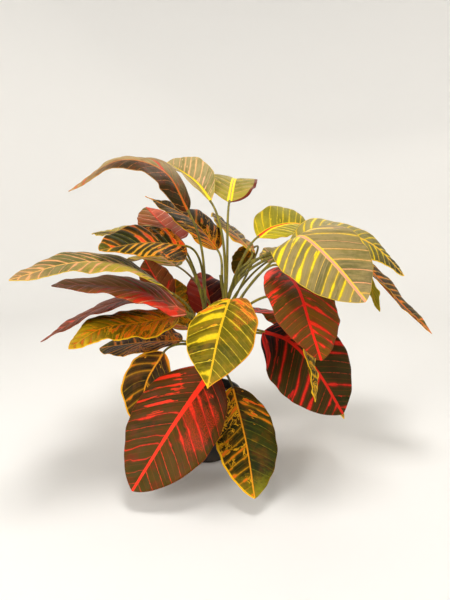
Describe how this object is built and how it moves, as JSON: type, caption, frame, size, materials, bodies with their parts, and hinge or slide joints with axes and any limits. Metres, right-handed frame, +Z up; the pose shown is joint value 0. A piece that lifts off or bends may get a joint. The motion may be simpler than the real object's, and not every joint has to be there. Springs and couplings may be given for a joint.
{
  "type": "potted croton",
  "caption": "Bushy potted croton with broad patterned leaves in green, yellow and red on leafy stems, in a small black tapered plant pot of soil.",
  "frame": {"origin": "centre of the pot's underside, on the surface that the pot stands on", "axes": "+Z up; -Y is the side seen from the front, with +X to the right from there"},
  "size_m": [0.6205, 0.4287, 0.519],
  "materials": {
    "leaf_pale": "satin",
    "leaf_amber": "satin",
    "leaf_red": "satin",
    "stem": "satin",
    "pot": "satin",
    "soil": "matte"
  },
  "bodies": {
    "root": {"pot": "pot", "soil": "soil", "stem_centre": "stem", "leaf_centre_1": "leaf_pale", "leaf_centre_2": "leaf_pale", "leaf_centre_3": "leaf_amber", "stem_left": "stem", "leaf_left_1": "leaf_red", "leaf_left_2": "leaf_red", "leaf_left_3": "leaf_amber", "leaf_left_4": "leaf_pale", "leaf_left_5": "leaf_red", "leaf_left_6": "leaf_amber", "stem_front_left": "stem", "leaf_front_left_1": "leaf_pale", "leaf_front_left_2": "leaf_red", "leaf_front_left_3": "leaf_red", "leaf_front_left_4": "leaf_amber", "leaf_front_left_5": "leaf_amber", "leaf_front_left_6": "leaf_amber", "stem_front": "stem", "leaf_front_1": "leaf_red", "leaf_front_2": "leaf_amber", "leaf_front_3": "leaf_pale", "stem_front_right": "stem", "leaf_front_right_1": "leaf_pale", "leaf_front_right_2": "leaf_red", "leaf_front_right_3": "leaf_red", "leaf_front_right_4": "leaf_amber", "leaf_front_right_5": "leaf_amber", "stem_right": "stem", "leaf_right_1": "leaf_pale", "leaf_right_2": "leaf_pale", "leaf_right_3": "leaf_amber", "leaf_right_4": "leaf_pale", "leaf_right_5": "leaf_pale", "stem_back": "stem", "leaf_back_1": "leaf_red", "leaf_back_2": "leaf_amber", "leaf_back_3": "leaf_red", "leaf_back_4": "leaf_amber", "leaf_back_5": "leaf_pale", "leaf_back_6": "leaf_pale", "leaf_back_7": "leaf_amber"}
  },
  "joints": []
}
